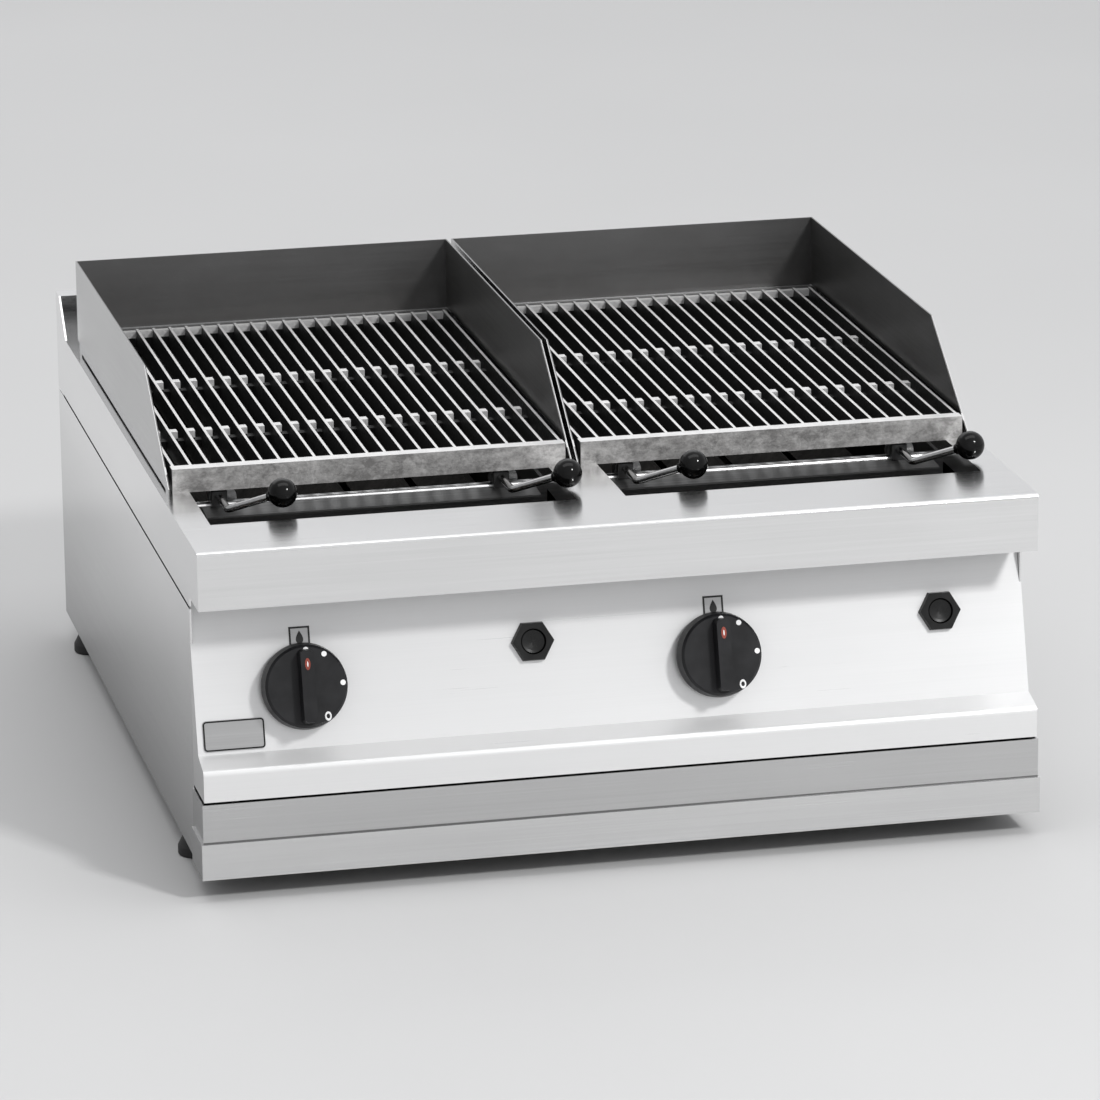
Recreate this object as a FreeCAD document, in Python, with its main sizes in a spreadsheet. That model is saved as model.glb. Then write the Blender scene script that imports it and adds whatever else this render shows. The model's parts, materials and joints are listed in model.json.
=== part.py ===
import FreeCAD, Part
import Sketcher
import os
import re

# Countertop gas charbroiler: a folded sheet-steel casing on four feet, two cast grates inside
# U-shaped splash guards, and under each grate a firebox with burner, radiant rack and grease tray.
# Frame: +Z up, front towards -Y, origin under the middle of the overall box, on the floor.
# Millimetres and degrees throughout.

DIMENSIONS = [
    ("width", 700, "overall width, over the skirt and the feet"),
    ("depth", 775, "overall depth, skirt to rear edge"),
    ("height", 290, "floor to worktop"),
    ("foot_height", 19, "floor to underside of the casing"),
    ("body_width", 694, "width over the side panels"),
    ("gauge", 1.5, "sheet thickness of the casing"),
    ("seam", 2.2, "open seam between neighbouring panels"),
    ("nose_setback", 6, "skirt front to the face of the nose"),
    ("nose_depth", 78, "front to back over the nose"),
    ("nose_drop", 48, "height of the nose face"),
    ("nose_radius", 3, "rounding of the nose's upper front edge"),
    ("nose_return", 58, "depth of the fold under the nose"),
    ("panel_front", 44, "nose face to front edge of the side panels"),
    ("panel_height", 215, "height of the side panels"),
    ("panel_flange", 12, "rear flange of the side panels"),
    ("base_height", 63, "height of the base front panel"),
    ("base_overlap", 1.5, "base front panel proud of the side panels"),
    ("skirt_height", 30, "height of the skirt strip"),
    ("skirt_gauge", 1.5, "sheet thickness of the skirt strip"),
    ("back_recess", 20, "rear edge to the back panel"),
    ("fascia_tilt", 16, "lean of the control fascia, degrees from vertical"),
    ("crease_height", 97, "casing base to the crease at the foot of the fascia"),
    ("crease_setback", 19, "nose face to that crease"),
    ("ledge_height", 90.5, "casing base to the corner of the ledge"),
    ("ledge_proud", 5, "ledge face in front of the nose face"),
    ("ledge_radius", 5, "rounding of the ledge corner"),
    ("rim_drop", 20, "flange turned down round each worktop opening"),
    ("module_x", 171.5, "centre line of each cooking module from the middle"),
    ("opening_half", 151, "half width of a worktop opening"),
    ("opening_front", 80, "nose face to front edge of the opening"),
    ("opening_rear", 657, "nose face to rear edge of the opening"),
    ("upstand_height", 33, "worktop to top of the rear upstand"),
    ("upstand_depth", 20, "front to back over the rear upstand"),
    ("cheek_run", 34, "length of the upstand's sloping cheeks"),
    ("flue_front", 690, "nose face to front edge of the flue grille"),
    ("flue_depth", 44, "front to back over the flue grille"),
    ("flue_half", 300, "half length of the flue grille"),
    ("flue_slots", 30, "slots in the flue grille"),
    ("guard_half", 169.5, "half width of a splash guard"),
    ("guard_front", 175, "nose face to front end of a guard"),
    ("guard_bend", 287.5, "nose face to the bend in a guard's top edge"),
    ("guard_rear", 676, "nose face to back of a guard"),
    ("guard_height", 82, "worktop to top of a guard"),
    ("guard_toe", 5, "height of a guard's front end"),
    ("guard_notch", 9, "notch at a guard's rear lower corners"),
    ("guard_gap", 2, "open gap under a guard's walls, between its end feet"),
    ("guard_foot", 14, "length of those feet"),
    ("shelf_drop", 64, "guard top to the ledge along its rear wall"),
    ("shelf_depth", 7, "depth of that ledge"),
    ("grate_half", 165, "half width of a grate"),
    ("grate_front", 181, "nose face to front of a grate"),
    ("grate_rear", 661, "nose face to rear of a grate"),
    ("grate_height", 20, "height of a grate over the worktop"),
    ("lip_depth", 12, "front lip of a grate, front to back"),
    ("tail_depth", 6, "rear bar of a grate, front to back"),
    ("bar_count", 23, "bars in a grate"),
    ("bar_top", 2.4, "width of a bar at its top"),
    ("bar_foot", 5, "width of a bar at its foot"),
    ("bar_height", 16, "height of a bar"),
    ("tie_front", 303, "nose face to the front row of ties"),
    ("tie_rear", 468, "nose face to the rear row of ties"),
    ("tie_depth", 9, "front to back over a tie row"),
    ("tie_height", 7, "height of a tie row"),
    ("nub_length", 7.5, "length of the nub beside each bar at a tie row"),
    ("pad_half", 15, "half width of a grate's bearing pads"),
    ("pad_depth", 18, "front to back over a bearing pad"),
    ("crank_offset", 118.5, "half the distance between the two crank shafts of a module"),
    ("crank_shift", 7, "how far left of the module centre that pair of shafts sits"),
    ("crank_drop", 7, "worktop to crank shaft axis"),
    ("crank_front", 147, "nose face to the plane of the crank arms"),
    ("crank_radius", 3.2, "radius of crank shaft and arm"),
    ("crank_bend", 8, "bend radius between shaft and arm"),
    ("crank_reach", 44.5, "shaft axis to centre of the ball grip"),
    ("crank_rise", 28, "slope of the arm at rest, degrees"),
    ("arm_sweep", 39, "lean of the arm towards the front, degrees"),
    ("ball_radius", 12, "radius of a ball grip"),
    ("cam_throw", 7, "eccentricity of the lifting cams"),
    ("cam_gap", 0.3, "cam to bearing pad when the grate is down"),
    ("cam_width", 8, "width of a cam"),
    ("bore_gap", 0.08, "radial running clearance of shafts"),
    ("bracket_half", 6.5, "half width of a shaft bracket"),
    ("bracket_depth", 5, "thickness of a shaft bracket"),
    ("rail_radius", 4, "radius of the rail behind a firebox lip"),
    ("firebox_front", 189, "nose face to front wall of a firebox"),
    ("firebox_rear", 655, "nose face to rear wall of a firebox"),
    ("firebox_low", 90, "casing base to lower edge of a firebox"),
    ("firebox_top", 255.5, "casing base to upper edge of a firebox"),
    ("lip_half", 140, "half width of a firebox's front lip"),
    ("lip_run", 26, "front to back over a firebox's front lip"),
    ("lip_fall", 2, "fall of that lip towards the front"),
    ("burner_height", 128, "casing base to burner tube axis"),
    ("burner_radius", 19, "radius of a burner tube"),
    ("burner_half", 62, "module centre to a burner tube"),
    ("collar_depth", 2, "thickness of the inlet's locking collar"),
    ("burner_front", 215, "nose face to front end of the burner tubes"),
    ("burner_rear", 653.5, "nose face to rear end of the burner tubes"),
    ("tube_wall", 2, "wall of burner tubes and gas pipes"),
    ("port_count", 18, "flame ports along a burner tube"),
    ("radiant_base", 190, "casing base to foot of the radiants"),
    ("radiant_rise", 26, "height of a radiant"),
    ("radiant_half", 26, "half width of a radiant"),
    ("radiant_count", 5, "radiants over a burner"),
    ("tray_half", 140, "half width of a grease tray"),
    ("tray_front", 100, "nose face to front of a grease tray"),
    ("tray_rear", 650, "nose face to rear of a grease tray"),
    ("tray_low", 34, "casing base to underside of a grease tray"),
    ("tray_depth", 28, "height of a grease tray"),
    ("manifold_radius", 10.48, "radius of the gas manifold, half-inch thread outside"),
    ("manifold_back", 75, "nose face to manifold axis"),
    ("manifold_height", 76.5, "casing base to manifold axis"),
    ("inlet_x", 300, "middle to the axis of the inlet pipe"),
    ("knob_offset", -87, "module centre to knob axis"),
    ("knob_height", 145, "casing base to knob axis on the fascia"),
    ("knob_radius", 35, "radius of a control knob"),
    ("knob_gap", 5.5, "fascia to the back of a knob"),
    ("knob_face", 20, "fascia to the front face of a knob"),
    ("grip_height", 11, "height of the grip bar over the knob face"),
    ("grip_width", 13, "width of the grip bar"),
    ("stem_radius", 4, "radius of a valve stem"),
    ("collar_radius", 9, "outside radius of a push collar"),
    ("igniter_offset", 103.7, "module centre to igniter axis"),
    ("igniter_height", 166, "casing base to igniter axis on the fascia"),
    ("bezel_flats", 31.2, "igniter bezel across its flats"),
    ("bezel_height", 5, "height of an igniter bezel"),
    ("barrel_radius", 11.8, "outside radius of an igniter barrel"),
    ("barrel_bore", 10.5, "bore of an igniter barrel"),
    ("button_radius", 10.2, "radius of an igniter button"),
    ("plate_x", -317, "middle to centre of the name plate"),
    ("plate_height", 111.5, "casing base to centre of the name plate"),
    ("plate_wide", 50, "width of the name plate"),
    ("plate_tall", 25, "height of the name plate"),
    ("foot_x", 335, "middle to a foot"),
    ("foot_front", 118, "nose face to the front feet"),
    ("foot_rear", 700, "nose face to the rear feet"),
    ("foot_radius", 15, "radius of a foot"),
    ("screw_radius", 4, "radius of a screw head"),
]

DERIVED = {
    "nose_front": "nose_setback - depth / 2",
    "rear_edge": "depth / 2",
    "worktop_top": "height",
    "nose_low": "height - nose_drop",
    "panel_top": "foot_height + panel_height",
    "back_face": "depth / 2 - back_recess",
    "base_front": "nose_setback - skirt_gauge",
    "pitch": "(2 * grate_half - bar_foot) / (bar_count - 1)",
    "crank_axis": "height - crank_drop",
    "cam_radius": "crank_drop - cam_gap + cam_throw * sin(45 deg)",
    "grate_low": "height",
    "guard_top": "height + guard_height",
}

MODULES = ("-module_x", "module_x")
SCREW_X = ("-315", "-105", "105", "290")
SCREW_Z = ("30", "203")

NAMES = {name for name, _, _ in DIMENSIONS}
WORD = re.compile(r"[A-Za-z_][A-Za-z_0-9]*")

doc = FreeCAD.newDocument("Charbroiler")
sheet = doc.addObject("Spreadsheet::Sheet", "Dims")
for row, (name, value, note) in enumerate(DIMENSIONS, 1):
    sheet.set(f"A{row}", note)
    sheet.set(f"B{row}", str(value))
    sheet.setAlias(f"B{row}", name)
doc.recompute()

subparts = []


# ---- expressions -------------------------------------------------------------------------------

def resolve(text):
    """Spells an expression over the sheet's aliases and the derived names."""
    def swap(match):
        word = match.group(0)
        if word in DERIVED:
            return "(" + resolve(DERIVED[word]) + ")"
        return "Dims." + word if word in NAMES else word
    return WORD.sub(swap, str(text))


def number(text):
    """The present value of an expression."""
    value = sheet.evalExpression(resolve(text))
    return float(getattr(value, "Value", value))


def bind(item, field, text):
    item.setExpression(field, resolve(text))


def put(item, x="0", y="0", z="0"):
    """Binds an object's position."""
    for axis, text in zip("xyz", (x, y, z)):
        bind(item, "Placement.Base." + axis, text)
    return item


def at_y(text):
    """A distance behind the nose face as a coordinate."""
    return f"nose_front + ({text})"


def at_z(text):
    """A height over the casing's underside as a coordinate."""
    return f"foot_height + ({text})"


def fascia_y(height):
    """The fascia's outer face at a height over the casing's underside."""
    return at_y(f"crease_setback + ({height} - crease_height) * tan(fascia_tilt * 1 deg)")


def turn(item, axis, text):
    """Turns an object about an axis through its own origin by a bound angle."""
    item.Placement = FreeCAD.Placement(item.Placement.Base, FreeCAD.Rotation(FreeCAD.Vector(*axis), 1))
    bind(item, "Placement.Rotation.Angle", f"({text}) * 1 deg")
    return item


def on_fascia(item, x, height):
    """Stands an object on the fascia: its own +Z leaves the face, its own +Y runs up it."""
    turn(item, (1, 0, 0), "90 - fascia_tilt")
    return put(item, x, fascia_y(height), at_z(height))


def keep(item, label):
    """Names a finished sub-part."""
    item.Label = label
    subparts.append(item)
    return item


# ---- solids ------------------------------------------------------------------------------------

def block(x, y, z, dx, dy, dz):
    """A box from its lowest corner and its three sizes."""
    item = doc.addObject("Part::Box", "Block")
    for field, text in zip(("Length", "Width", "Height"), (dx, dy, dz)):
        bind(item, field, text)
    return put(item, x, y, z)


def rod(radius, length, x="0", y="0", z="0", along="z"):
    """A cylinder that starts at a point and runs along an axis."""
    item = doc.addObject("Part::Cylinder", "Rod")
    bind(item, "Radius", radius)
    bind(item, "Height", length)
    lean = {"x": ((0, 1, 0), 90), "y": ((1, 0, 0), -90), "z": ((0, 0, 1), 0)}[along]
    item.Placement = FreeCAD.Placement(FreeCAD.Vector(), FreeCAD.Rotation(FreeCAD.Vector(*lean[0]), lean[1]))
    return put(item, x, y, z)


def cone(low, high, length, x="0", y="0", z="0"):
    item = doc.addObject("Part::Cone", "Cone")
    for field, text in zip(("Radius1", "Radius2", "Height"), (low, high, length)):
        bind(item, field, text)
    return put(item, x, y, z)


def fuse(*items):
    item = doc.addObject("Part::MultiFuse", "Fusion")
    item.Shapes = list(items)
    return item


def cut(base, *tools):
    item = doc.addObject("Part::Cut", "Cut")
    item.Base = base
    item.Tool = tools[0] if len(tools) == 1 else fuse(*tools)
    return item


def group(*items):
    """Separate solids kept as one node."""
    item = doc.addObject("Part::Compound", "Group")
    item.Links = list(items)
    return item


# ---- sketched bodies ---------------------------------------------------------------------------

def new_body():
    return doc.addObject("PartDesign::Body", "Body")


def new_sketch(body, plane, offset="0"):
    """A sketch on one of the body's origin planes, moved along the plane's normal."""
    sketch = body.newObject("Sketcher::SketchObject", "Sketch")
    support = [item for item in body.Origin.OriginFeatures if item.Role == plane + "_Plane"][0]
    sketch.AttachmentSupport = (support, [""])
    sketch.MapMode = "FlatFace"
    bind(sketch, "AttachmentOffset.Base.z", offset)
    return sketch


def hold(sketch, kind, first, second, text):
    """Adds a dimension from the sketch's origin to a point, bound to an expression."""
    place = sketch.addConstraint(Sketcher.Constraint(kind, -1, 1, first, second, number(text)))
    bind(sketch, f"Constraints[{place}]", text)


def outline(sketch, points):
    """A closed polygon through the given corners."""
    corners = [FreeCAD.Vector(number(u), number(v), 0) for u, v in points]
    first = sketch.GeometryCount
    count = len(points)
    for i, corner in enumerate(corners):
        sketch.addGeometry(Part.LineSegment(corner, corners[(i + 1) % count]), False)
    for i in range(count):
        following = first + (i + 1) % count
        sketch.addConstraint(Sketcher.Constraint("Coincident", first + i, 2, following, 1))
    for i, (u, v) in enumerate(points):
        hold(sketch, "DistanceX", first + i, 1, u)
        hold(sketch, "DistanceY", first + i, 1, v)
    return sketch


def rectangle(sketch, u0, v0, u1, v1):
    return outline(sketch, [(u0, v0), (u1, v0), (u1, v1), (u0, v1)])


def circle(sketch, u, v, radius):
    centre = FreeCAD.Vector(number(u), number(v), 0)
    index = sketch.addGeometry(Part.Circle(centre, FreeCAD.Vector(0, 0, 1), number(radius)), False)
    hold(sketch, "DistanceX", index, 3, u)
    hold(sketch, "DistanceY", index, 3, v)
    place = sketch.addConstraint(Sketcher.Constraint("Radius", index, number(radius)))
    bind(sketch, f"Constraints[{place}]", radius)
    return sketch


def pad(body, sketch, length, both_ways=False):
    item = body.newObject("PartDesign::Pad", "Pad")
    item.Profile = sketch
    item.SideType = "Symmetric" if both_ways else "One side"
    bind(item, "Length", length)
    sketch.Visibility = False
    return item


def pocket(body, sketch, length, both_ways=False, reverse=False):
    item = body.newObject("PartDesign::Pocket", "Pocket")
    item.Profile = sketch
    item.SideType = "Symmetric" if both_ways else "One side"
    item.Reversed = reverse
    bind(item, "Length", length)
    return item


def repeat(body, feature, sketch, axis, length, count):
    """Repeats a feature along a sketch axis; length spans the first to the last."""
    item = body.newObject("PartDesign::LinearPattern", "Pattern")
    item.Originals = [feature]
    item.Direction = (sketch, [axis])
    bind(item, "Length", length)
    bind(item, "Occurrences", count)
    body.Tip = item
    return item


def revolve(body, points):
    """A solid of revolution about the body's own Z axis from (radius, height) corners."""
    sketch = outline(new_sketch(body, "XZ"), points)
    item = body.newObject("PartDesign::Revolution", "Revolution")
    item.Profile = sketch
    item.ReferenceAxis = (sketch, ["V_Axis"])
    item.Angle = 360
    return item


def round_edges(body, feature, radius, test):
    """Fillets the edges of a feature whose middle point passes a test."""
    doc.recompute()
    chosen = []
    for i, edge in enumerate(feature.Shape.Edges, 1):
        middle = edge.valueAt((edge.FirstParameter + edge.LastParameter) / 2)
        if test(edge, middle):
            chosen.append(f"Edge{i}")
    item = body.newObject("PartDesign::Fillet", "Fillet")
    item.Base = (feature, chosen)
    bind(item, "Radius", radius)
    return item


def along_x(edge):
    return abs(edge.tangentAt(edge.FirstParameter).x) > 0.99


def near(value, text):
    return abs(value - number(text)) < 0.05


# ---- casing ------------------------------------------------------------------------------------

def side_panel(side, label):
    """A plain side sheet with a flange turned in along its rear edge."""
    body = new_body()
    outer = f"{side} * body_width / 2"
    inner = f"{side} * (body_width / 2 - gauge)"
    fold = f"{side} * (body_width / 2 - panel_flange)"
    rear = "rear_edge"
    points = [(outer, at_y("panel_front")), (outer, rear), (fold, rear), (fold, rear + " - gauge"),
              (inner, rear + " - gauge"), (inner, at_y("panel_front"))]
    pad(body, outline(new_sketch(body, "XY", "foot_height"), points), "panel_height - seam")
    tongue = rectangle(new_sketch(body, "XY", "foot_height"), outer, at_y("gauge - base_front"), inner,
                       at_y("panel_front"))
    pad(body, tongue, "base_height - seam")
    keep(body, label)


def back_panel():
    """Upright rear sheet with cooling slots, screw holes and the gas inlet hole."""
    body = new_body()
    half = "body_width / 2 - gauge"
    sheet_low = at_z("gauge")
    sketch = rectangle(new_sketch(body, "XZ", "-back_face"), f"-({half})", sheet_low, half,
                       "worktop_top - gauge")
    pad(body, sketch, "gauge")
    slots = rectangle(new_sketch(body, "XZ", "-back_face"), "-240", at_z("150"), "-232", at_z("190"))
    first = pocket(body, slots, "4 * gauge", both_ways=True)
    repeat(body, first, slots, "H_Axis", "460", "24")
    holes = new_sketch(body, "XZ", "-back_face")
    for x in SCREW_X:
        for z in SCREW_Z:
            circle(holes, x, at_z(z), "screw_radius / 2")
    circle(holes, "inlet_x", at_z("manifold_height"), "manifold_radius + 1")
    pocket(body, holes, "4 * gauge", both_ways=True)
    keep(body, "back_panel")


def panel_screws():
    """Pan-head screws of the back panel."""
    screws = []
    for x in SCREW_X:
        for z in SCREW_Z:
            head = rod("screw_radius", "2.4", x, "back_face", at_z(z), "y")
            shank = rod("screw_radius / 2", "9", x, "back_face - 9", at_z(z), "y")
            screws.append(fuse(head, shank))
    keep(group(*screws), "panel_screws")


def bottom_pan():
    """Floor of the casing, a shallow pan with turned-up edges."""
    body = new_body()
    half = "body_width / 2 - gauge"
    front = at_y("gauge - base_front")
    rear = "back_face - gauge"
    floor = rectangle(new_sketch(body, "XY", "foot_height"), f"-({half})", front, half, rear)
    pad(body, floor, "14")
    inside = rectangle(new_sketch(body, "XY", at_z("gauge")), f"-({half} - gauge)", front + " + gauge",
                       f"{half} - gauge", rear + " - gauge")
    pocket(body, inside, "20", reverse=True)
    keep(body, "bottom_pan")


def front_wrap(label, reach, proud, gauge, height):
    """A U-shaped strip round the front of the base."""
    body = new_body()
    front = at_y(f"-({proud})")
    rear = at_y("panel_front")
    points = [(f"-({reach})", front), (reach, front), (reach, rear), (f"{reach} - {gauge}", rear),
              (f"{reach} - {gauge}", f"{front} + {gauge}"), (f"-({reach} - {gauge})", f"{front} + {gauge}"),
              (f"-({reach} - {gauge})", rear), (f"-({reach})", rear)]
    pad(body, outline(new_sketch(body, "XY", "foot_height"), points), height)
    keep(body, label)


def control_fascia():
    """Leaning control panel that flows over a rounded ledge into an upright lower face."""
    body = new_body()
    foot = at_z("base_height + seam")
    top = "nose_low"
    half = "body_width / 2"
    top_height = "height - nose_drop - foot_height"
    ledge = at_y("-ledge_proud")
    outer = [(ledge, foot), (ledge, at_z("ledge_height")), (at_y("crease_setback"), at_z("crease_height")),
             (fascia_y(top_height), top)]
    inner = [(fascia_y(top_height) + " + gauge", top),
             (at_y("crease_setback + gauge"), at_z("crease_height - gauge")),
             (ledge + " + gauge", at_z("ledge_height - gauge")), (ledge + " + gauge", foot)]
    pad(body, outline(new_sketch(body, "YZ"), outer + inner), "body_width", both_ways=True)
    cheek = [(ledge + " + gauge", foot), (ledge + " + gauge", at_z("ledge_height - gauge")),
             (at_y("crease_setback + gauge"), at_z("crease_height - gauge")),
             (at_y("panel_front"), at_z("180")), (at_y("panel_front"), foot)]
    for offset in (f"-({half})", f"{half} - gauge"):
        pad(body, outline(new_sketch(body, "YZ", offset), cheek), "gauge")
    inside = f"{half} - gauge - 0.2"
    for low, high in ((f"-({half} + 1)", f"-({inside})"), (inside, f"{half} + 1")):
        notch = rectangle(new_sketch(body, "XY", at_z("base_height")), low, at_y("panel_front"), high,
                          at_y("90"))
        last = pocket(body, notch, "200", reverse=True)
    round_edges(body, last, "ledge_radius",
                lambda edge, middle: along_x(edge) and near(middle.y, ledge)
                and near(middle.z, at_z("ledge_height")))
    holes = []
    for centre in MODULES:
        knob = rod("collar_radius + 1", "40", z="-20")
        holes.append(on_fascia(group(knob), f"{centre} + knob_offset", "knob_height"))
        igniter = rod("barrel_radius + 0.1", "40", z="-20")
        holes.append(on_fascia(group(igniter), f"{centre} + igniter_offset", "igniter_height"))
    keep(cut(body, *holes), "control_fascia")


def front_nose():
    """Folded front bar over the fascia, closed by end caps."""
    body = new_body()
    front = at_y("0")
    rear = at_y("nose_depth")
    top = "worktop_top"
    low = "nose_low"
    fold = at_y("nose_return")
    profile = [(front, low), (front, top), (rear, top), (rear, top + " - gauge"),
               (front + " + gauge", top + " - gauge"), (front + " + gauge", low + " + gauge"),
               (fold, low + " + gauge"), (fold, low)]
    pad(body, outline(new_sketch(body, "YZ"), profile), "body_width", both_ways=True)
    for offset in ("-body_width / 2", "body_width / 2 - gauge"):
        last = pad(body, rectangle(new_sketch(body, "YZ", offset), front, low, rear, top), "gauge")
    round_edges(body, last, "nose_radius",
                lambda edge, middle: along_x(edge) and near(middle.y, front) and near(middle.z, top))
    keep(body, "front_nose")


def worktop():
    """Top sheet with side skirts and a turned-down rim round each opening."""
    body = new_body()
    half = "body_width / 2"
    top = "worktop_top"
    profile = [(f"-({half})", "panel_top"), (f"-({half})", top), (half, top), (half, "panel_top"),
               (f"{half} - gauge", "panel_top"), (f"{half} - gauge", f"{top} - gauge"),
               (f"-({half} - gauge)", f"{top} - gauge"), (f"-({half} - gauge)", "panel_top")]
    channel = outline(new_sketch(body, "XZ", "-rear_edge"), profile)
    pad(body, channel, f"rear_edge - ({at_y('panel_front')})")
    under_nose = rectangle(new_sketch(body, "YZ"), at_y("0"), "nose_low", at_y("nose_depth"), top + " + 5")
    pocket(body, under_nose, "body_width + 10", both_ways=True)
    for centre in MODULES:
        low_x, high_x = f"{centre} - opening_half", f"{centre} + opening_half"
        front, rear = at_y("opening_front"), at_y("opening_rear")
        hole = rectangle(new_sketch(body, "XY", top), low_x, front, high_x, rear)
        pocket(body, hole, "2 * gauge")
        rim = new_sketch(body, "XY", f"{top} - gauge / 2 - rim_drop")
        rectangle(rim, low_x, front, high_x, rear)
        rectangle(rim, f"{low_x} - gauge", f"{front} - gauge", f"{high_x} + gauge", f"{rear} + gauge")
        pad(body, rim, "rim_drop")
    flue = rectangle(new_sketch(body, "XY", top), "-(flue_half - 6)", at_y("flue_front + 4"),
                     "flue_half - 6", at_y("flue_front + flue_depth - 4"))
    pocket(body, flue, "2 * gauge")
    keep(body, "worktop")


def rear_upstand():
    """Raised rear edge of the worktop with sloping cheeks at its ends."""
    body = new_body()
    rear = "rear_edge"
    front = "rear_edge - upstand_depth"
    low = "worktop_top"
    top = "worktop_top + upstand_height"
    profile = [(front, low), (front, top), (rear, top), (rear, low), (rear + " - gauge", low),
               (rear + " - gauge", top + " - gauge"), (front + " + gauge", top + " - gauge"),
               (front + " + gauge", low)]
    pad(body, outline(new_sketch(body, "YZ"), profile), "body_width", both_ways=True)
    cheek = [(front + " - cheek_run", low), (front, top), (rear, top), (rear, low)]
    for offset in ("-body_width / 2", "body_width / 2 - gauge"):
        pad(body, outline(new_sketch(body, "YZ", offset), cheek), "gauge")
    keep(body, "rear_upstand")


def flue_grille():
    """Slotted strip over the flue outlet."""
    body = new_body()
    front, rear = at_y("flue_front"), at_y("flue_front + flue_depth")
    strip = rectangle(new_sketch(body, "XY", "worktop_top"), "-flue_half", front, "flue_half", rear)
    pad(body, strip, "gauge")
    low = "-flue_half + 12"
    slot = rectangle(new_sketch(body, "XY", "worktop_top + gauge"), low, front + " + 7", f"{low} + 9",
                     rear + " - 7")
    first = pocket(body, slot, "2 * gauge")
    repeat(body, first, slot, "H_Axis", "2 * flue_half - 33", "flue_slots")
    keep(body, "flue_grille")


def splash_guard(centre, label):
    """U-shaped guard round the sides and the back of a grate, lower towards the front."""
    body = new_body()
    front, rear = at_y("guard_front"), at_y("guard_rear")
    low, high = f"{centre} - guard_half", f"{centre} + guard_half"
    walls = [(low, front), (low, rear), (high, rear), (high, front), (f"{high} - gauge", front),
             (f"{high} - gauge", f"{rear} - gauge"), (f"{low} + gauge", f"{rear} - gauge"),
             (f"{low} + gauge", front)]
    pad(body, outline(new_sketch(body, "XY", "worktop_top"), walls), "guard_height")
    slope = [(front + " - 1", "worktop_top + guard_toe"), (front, "worktop_top + guard_toe"),
             (at_y("guard_bend"), "guard_top"), (at_y("guard_bend"), "guard_top + 5"),
             (front + " - 1", "guard_top + 5")]
    pocket(body, outline(new_sketch(body, "YZ", centre), slope), "4 * guard_half", both_ways=True)
    notch = rectangle(new_sketch(body, "YZ", centre), f"{rear} - guard_notch", "worktop_top - 1",
                      f"{rear} + 1", "worktop_top + guard_notch")
    pocket(body, notch, "4 * guard_half", both_ways=True)
    gap = rectangle(new_sketch(body, "YZ", centre), f"{front} + guard_foot", "worktop_top - 1",
                    f"{rear} - guard_notch - guard_foot", "worktop_top + guard_gap")
    pocket(body, gap, "4 * guard_half", both_ways=True)
    shelf_top = "guard_top - shelf_drop"
    shelf = rectangle(new_sketch(body, "XY", f"{shelf_top} - 2 * gauge"), f"{low} + gauge",
                      f"{rear} - gauge - shelf_depth", f"{high} - gauge", f"{rear} - gauge / 2")
    pad(body, shelf, "2 * gauge")
    keep(body, label)


# ---- grates and their lift ---------------------------------------------------------------------

def grate(centre, label):
    """Cast grate: tapered bars between a deep front lip and a rear bar, tied by two rows."""
    body = new_body()
    low, high = f"{centre} - grate_half", f"{centre} + grate_half"
    front, rear = at_y("grate_front"), at_y("grate_rear")
    base = "grate_low"
    lip = rectangle(new_sketch(body, "XY", base), low, front, high, f"{front} + lip_depth")
    pad(body, lip, "grate_height")
    foot = f"{base} + grate_height - bar_height"
    middle = f"{low} + bar_foot / 2"
    bar = [(f"{middle} - bar_foot / 2", foot), (f"{middle} + bar_foot / 2", foot),
           (f"{middle} + bar_top / 2", f"{base} + grate_height"),
           (f"{middle} - bar_top / 2", f"{base} + grate_height")]
    bar_sketch = outline(new_sketch(body, "XZ", f"-({rear})"), bar)
    first = pad(body, bar_sketch, "grate_rear - grate_front")
    repeat(body, first, bar_sketch, "H_Axis", "pitch * (bar_count - 1)", "bar_count")
    tail = rectangle(new_sketch(body, "XY", base), low, f"{rear} - tail_depth", high, rear)
    pad(body, tail, "grate_height - 1")
    for row in ("tie_front", "tie_rear"):
        tie = rectangle(new_sketch(body, "XY", foot), low, at_y(row), high, at_y(f"{row} + tie_depth"))
        pad(body, tie, "tie_height")
        start = f"{low} + bar_foot / 2"
        nub = rectangle(new_sketch(body, "XY", f"{foot} + tie_height - 1"), start, at_y(row),
                        f"{start} + nub_length", at_y(f"{row} + tie_depth"))
        nub_pad = pad(body, nub, "bar_height - tie_height")
        repeat(body, nub_pad, nub, "H_Axis", "pitch * (bar_count - 2)", "bar_count - 1")
    for side in (-1, 1):
        middle = shaft_x(centre, side)
        for near_edge, far_edge in ((f"{front} + lip_depth", f"{front} + lip_depth + pad_depth"),
                                    (f"{rear} - tail_depth - pad_depth", f"{rear} - tail_depth")):
            bearing = rectangle(new_sketch(body, "XY", base), f"{middle} - pad_half", near_edge,
                                f"{middle} + pad_half", far_edge)
            pad(body, bearing, "grate_height - bar_height + 1")
    keep(body, label)


def shaft_x(centre, side):
    """Where a crank shaft of a module runs: side is -1 for the left shaft and 1 for the right one."""
    return f"{centre} + {side} * crank_offset - crank_shift"


def on_crank(x, *items):
    """Carries parts of a crank, drawn flat with the shaft along Y, into the arm's rest position."""
    item = group(*items)
    turn(item, (0, -1, 0), "crank_rise")
    return put(item, x, "0", "crank_axis")


def on_arm(*items):
    """Carries parts drawn along +X from the elbow onto the forward-leaning arm."""
    item = group(*items)
    turn(item, (0, 0, -1), "arm_sweep")
    return put(item, "0", at_y("crank_front"), "0")


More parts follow.
